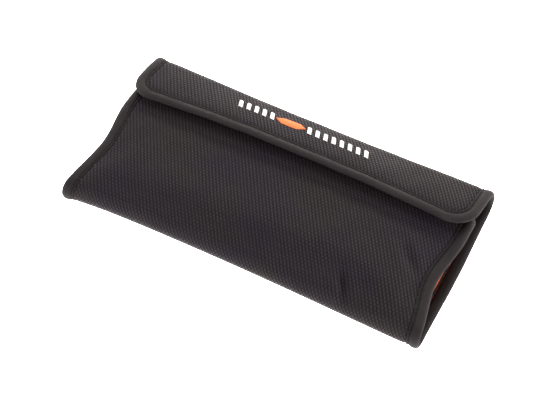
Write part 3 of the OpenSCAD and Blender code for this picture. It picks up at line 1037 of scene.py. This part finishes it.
def thread(name, low, high, shine=0.4):
    """Twisted sewing thread."""
    n = Nodes(name)
    x, y = n.cloth()
    twist = n.math("MULTIPLY_ADD", n.cosine(x, y, 1.9, 1.2), 0.5, 0.5)
    fuzz = n.noise(n.vector(x, y), 0.9, 3)
    colour = n.ramp(n.math("MULTIPLY_ADD", twist, 0.5, n.math("MULTIPLY", fuzz, 0.6)),
                    [(0.15, low), (0.8, high)])
    return n.finish(colour, 0.5, n.bump(twist, 0.1), Sheen_Weight=0.05, Sheen_Roughness=0.3,
                    Specular_IOR_Level=shine)


def pile(name, scale, low, high, depth):
    """The field of a hook or loop strip."""
    n = Nodes(name)
    x, y = n.cloth()
    v = n.node("ShaderNodeTexVoronoi")
    v.inputs["Scale"].default_value = scale
    n.link(n.vector(x, y), v.inputs["Vector"])
    fuzz = n.noise(n.vector(x, y), 1.4, 4, 0.7)
    colour = n.ramp(n.math("MULTIPLY_ADD", fuzz, 0.6, n.math("MULTIPLY", v.outputs["Distance"], 0.6)),
                    [(0.2, low), (0.8, high)])
    height = n.math("ADD", v.outputs["Distance"], fuzz)
    return n.finish(colour, 0.75, n.bump(height, depth), Sheen_Weight=0.06, Specular_IOR_Level=0.12)


def paper_floor():
    n = Nodes("pale_floor")
    where = n.node("ShaderNodeTexCoord")
    grain = n.noise(where.outputs["Object"], 60.0, 3)
    colour = n.ramp(grain, [(0.3, (0.90, 0.90, 0.90)), (0.7, (0.93, 0.93, 0.93))])
    return n.finish(colour, 0.9, n.bump(grain, 0.02, 0.3), Specular_IOR_Level=0.2,
                    Emission_Color=(1.0, 0.97, 0.95, 1), Emission_Strength=2.9)


def dress(objs, material):
    for obj in objs:
        obj.data.materials.clear()
        obj.data.materials.append(material)


# ---------------------------------------------------------------- the wallet
def build():
    nylon, tape = ballistic_nylon(), tape_cloth()
    orange = plain_cloth("orange_cloth", (0.62, 0.10, 0.012), (0.93, 0.21, 0.035))
    black = plain_cloth("black_cloth", (0.006, 0.0055, 0.006), (0.017, 0.015, 0.016), sheen=0.05, shine=0.1)
    sewing = thread("black_thread", (0.003, 0.0026, 0.0027), (0.014, 0.0118, 0.0118), 0.1)
    rust = thread("orange_thread", (0.55, 0.085, 0.006), (0.86, 0.2, 0.014))
    white = thread("white_thread", (0.72, 0.71, 0.68), (0.98, 0.97, 0.95))
    padding = foam()
    hook = pile("hook_field", 1.5, (0.004, 0.004, 0.004), (0.022, 0.022, 0.023), 0.5)
    loop = pile("loop_field", 0.8, (0.005, 0.005, 0.005), (0.02, 0.019, 0.02), 0.6)

    linings = {"back": orange, "front": orange, "flap": black}
    for leaf in LEAVES:
        shell, pad, lining = leaf_layers(leaf, [f"{leaf}_shell"], [f"{leaf}_padding"], [f"{leaf}_lining"])
        dress([shell], nylon)
        dress([pad], padding)
        dress([lining], linings[leaf])

    for leaf, names, nodes in (
            ("back", ["back_tape_left", "back_tape_right"], ["back_binding_left", "back_binding_right"]),
            ("front", ["front_tape"], ["front_binding"]),
            ("flap", ["flap_tape"], ["flap_binding"])):
        for band, line in bind(leaf, names, nodes):
            dress([band], tape)
            dress([line], sewing)

    for i, side in enumerate(("left", "middle", "right")):
        dress([pocket(i, f"pocket_{side}_cloth", f"pocket_{side}")], orange)
        dress([pocket_tape(i, f"pocket_{side}_tape", f"pocket_tape_{side}")], tape)
    seams = joined("pocket_seams", [part for p, q in seam_lines()
                                    for part in stitches(p, q, 0.0, LEAF_T - 0.5, thick=0.2)])
    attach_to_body(seams, "back")
    dress([seams], rust)

    dress([strip("loop_field_strip", "front", "loop_strip", -STRIP_T, 0.0)], loop)
    dress([strip("hook_field_strip", "flap", "hook_strip", LEAF_T + STRIP_T, LEAF_T)], hook)
    for leaf, depth in (("front", -0.5), ("flap", LEAF_T + 0.5)):
        p, q = strip_line(leaf)
        row = attach(joined(f"{leaf}_strip_stitching", stitches(p, q, 0.0, depth)), leaf)
        dress([row], sewing)

    dress([satin(bars(), "emblem_white", "emblem_bars")], white)
    dress([satin(lozenge(), "emblem_orange", "emblem_lozenge")], rust)


# ---------------------------------------------------------------- studio
def area_light(name, location, size, power, aim=(0, 0, 0.01), colour=(1, 1, 1)):
    light = bpy.data.lights.new(name, "AREA")
    light.shape, light.size, light.size_y = "RECTANGLE", size[0], size[1]
    light.energy, light.color = power, colour
    obj = bpy.data.objects.new(name, light)
    bpy.context.scene.collection.objects.link(obj)
    obj.location = location
    obj.rotation_euler = (Vector(aim) - Vector(location)).to_track_quat("-Z", "Y").to_euler()


WORLD_STRENGTH = 0.55
FLOOR_SIZE, FLOOR_Z = 6, -0.0006  # in metres, just under the soft bulges of the tape


def studio():
    bpy.context.scene.view_settings.view_transform = "Standard"
    world = bpy.data.worlds.new("studio")
    bpy.context.scene.world = world
    world.use_nodes = True
    back = next(n for n in world.node_tree.nodes if n.type == "BACKGROUND")
    back.inputs[0].default_value = (1.0, 1.0, 1.0, 1)
    back.inputs[1].default_value = WORLD_STRENGTH
    area_light("overhead", (-0.35, 0.45, 1.0), (0.7, 0.5), 8.5, colour=(0.97, 0.97, 1.0))
    area_light("back_rim", (-0.1, 1.1, 0.6), (1.7, 0.3), 26, colour=(1.0, 0.92, 0.85))
    area_light("left", (-1.0, -0.25, 0.5), (0.5, 0.4), 8, colour=(1.0, 0.95, 0.9))
    area_light("right_low", (0.9, -0.15, 0.16), (0.5, 0.2), 12, colour=(1.0, 0.95, 0.92))
    area_light("low_front", (-0.15, -0.9, 0.04), (1.6, 0.06), 3, colour=(1.0, 0.95, 0.92))

    bpy.ops.mesh.primitive_grid_add(x_subdivisions=8, y_subdivisions=8, size=FLOOR_SIZE,
                                    location=(0, 0, FLOOR_Z))
    floor = bpy.context.object
    floor.name = "studio_floor"
    floor.data.materials.append(paper_floor())


CAMERA_AZIMUTH, CAMERA_ELEVATION, CAMERA_DISTANCE = 27.73, 54.25, 906.42  # degrees, degrees, mm
CAMERA_AIM = (-8.95, -1.68, 0.0)
CAMERA_LENS, CAMERA_SENSOR = 88.33, 36


def camera():
    data = bpy.data.cameras.new("camera")
    data.lens, data.sensor_width = CAMERA_LENS, CAMERA_SENSOR
    cam = bpy.data.objects.new("camera", data)
    bpy.context.scene.collection.objects.link(cam)
    a, e = math.radians(CAMERA_AZIMUTH), math.radians(CAMERA_ELEVATION)
    back = Vector((math.sin(a) * math.cos(e), -math.cos(a) * math.cos(e), math.sin(e)))
    cam.location = (Vector(CAMERA_AIM) + back * CAMERA_DISTANCE) * MM
    cam.rotation_mode = "QUATERNION"
    cam.rotation_quaternion = (-back).to_track_quat("-Z", "Y")
    bpy.context.scene.camera = cam


settle()
build()
studio()
camera()
